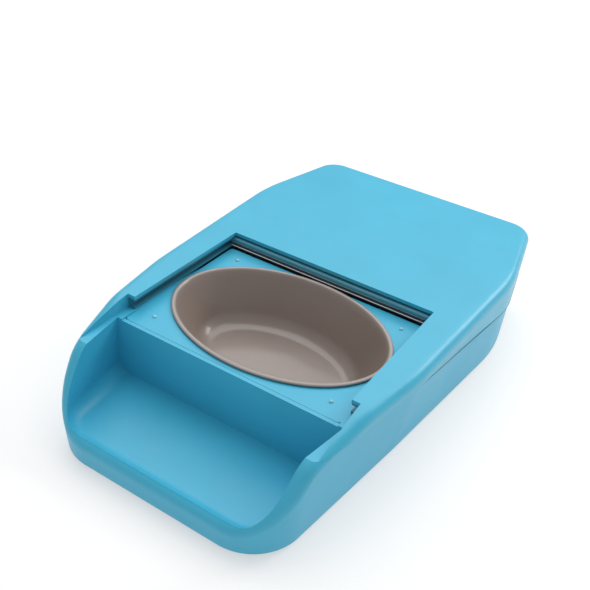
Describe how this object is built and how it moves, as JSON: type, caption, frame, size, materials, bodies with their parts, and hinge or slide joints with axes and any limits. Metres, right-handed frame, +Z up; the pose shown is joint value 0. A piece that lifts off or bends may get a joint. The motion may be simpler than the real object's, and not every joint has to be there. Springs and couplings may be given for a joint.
{
  "type": "microchip pet feeder",
  "caption": "Low floor-standing pet feeder with a front scoop, an oval drop-in bowl in a tray, and a powered lid that slides back under the rear deck.",
  "frame": {"origin": "on the floor under the middle of the feeder's overall box", "axes": "+Z up, -Y towards the pet and the scoop, +Y towards the rear deck; the outer form is symmetrical about the plane X = 0"},
  "size_m": [0.2334, 0.378, 0.074],
  "materials": {
    "shell_teal": "satin moulded plastic",
    "underside_grey": "matt moulded plastic",
    "bowl_grey": "satin moulded plastic",
    "rail_teal": "matt moulded plastic",
    "lid_teal": "satin moulded plastic",
    "seal_white": "soft white seal",
    "gear_white": "moulded acetal",
    "steel": "plated steel",
    "brass": "turned",
    "chassis_grey": "matt moulded plastic",
    "gearbox_grey": "matt moulded plastic",
    "motor_can": "zinc plated can",
    "cell_grey": "plain sleeve",
    "contact_steel": "nickel plated",
    "board_green": "solder mask",
    "component_dark": "moulded case",
    "foot_rubber": "soft rubber",
    "copper_coil": "enamelled wire, bonded",
    "button_grey": "matt moulded plastic",
    "lens_clear": "clear light pipe"
  },
  "bodies": {
    "housing": {"base_shell": "shell_teal", "top_cover": "shell_teal", "bottom_plate": "underside_grey", "guide_rail_left": "rail_teal", "guide_rail_right": "rail_teal", "shaft_bush": "brass", "mechanism_chassis": "chassis_grey", "gearbox": "gearbox_grey", "drive_motor": "motor_can", "battery_cells": "cell_grey", "battery_contacts": "contact_steel", "battery_springs": "contact_steel", "main_board": "board_green", "board_components": "component_dark", "board_screws": "steel", "gearbox_screws": "steel", "cover_screws": "steel", "plate_screws": "steel", "rail_screws": "steel", "button_board_screws": "steel", "rubber_feet": "foot_rubber", "reader_coil": "copper_coil", "end_switch": "component_dark", "button_board": "board_green", "button_switches": "component_dark", "status_lens": "lens_clear"},
    "lid": {"sliding_lid": "lid_teal", "lid_wiper_seal": "seal_white", "lid_rack": "gear_white"},
    "pinion": {"drive_pinion": "gear_white", "output_shaft": "steel"},
    "tray": {"bowl_tray": "shell_teal"},
    "bowl_body": {"bowl": "bowl_grey"},
    "door": {"battery_door": "underside_grey"},
    "learn_key": {"learn_button": "button_grey"},
    "open_key": {"open_button": "button_grey"}
  },
  "joints": [
    {"name": "lid_slide", "type": "slide", "parent": "housing", "child": "lid", "axis": [0, 1, 0], "range_m": [-0.1215, 0]},
    {"name": "pinion_turn", "type": "hinge", "parent": "housing", "child": "pinion", "pos_m": [0.0969, 0.023, 0.0651], "axis": [0, 0, -1], "range_deg": [-1000, 1]},
    {"name": "tray_lift", "type": "slide", "parent": "housing", "child": "tray", "axis": [0, 0, 1], "range_m": [0, 0.04]},
    {"name": "bowl_lift", "type": "slide", "parent": "tray", "child": "bowl_body", "axis": [0, 0, 1], "range_m": [0, 0.06]},
    {"name": "battery_door_hinge", "type": "hinge", "parent": "housing", "child": "door", "pos_m": [-0.012, 0.05315, 0.0037], "axis": [-1, 0, 0], "range_deg": [0, 80]},
    {"name": "learn_button_press", "type": "slide", "parent": "housing", "child": "learn_key", "axis": [0, -1, 0], "range_m": [0, 0.001], "stiffness_N_per_m": 400, "springref_m": -0.0005},
    {"name": "open_button_press", "type": "slide", "parent": "housing", "child": "open_key", "axis": [0, -1, 0], "range_m": [0, 0.001], "stiffness_N_per_m": 400, "springref_m": -0.0005}
  ],
  "couplings": [
    {"joint": "pinion_turn", "follows": "lid_slide", "rad_per_m": 142.86}
  ]
}
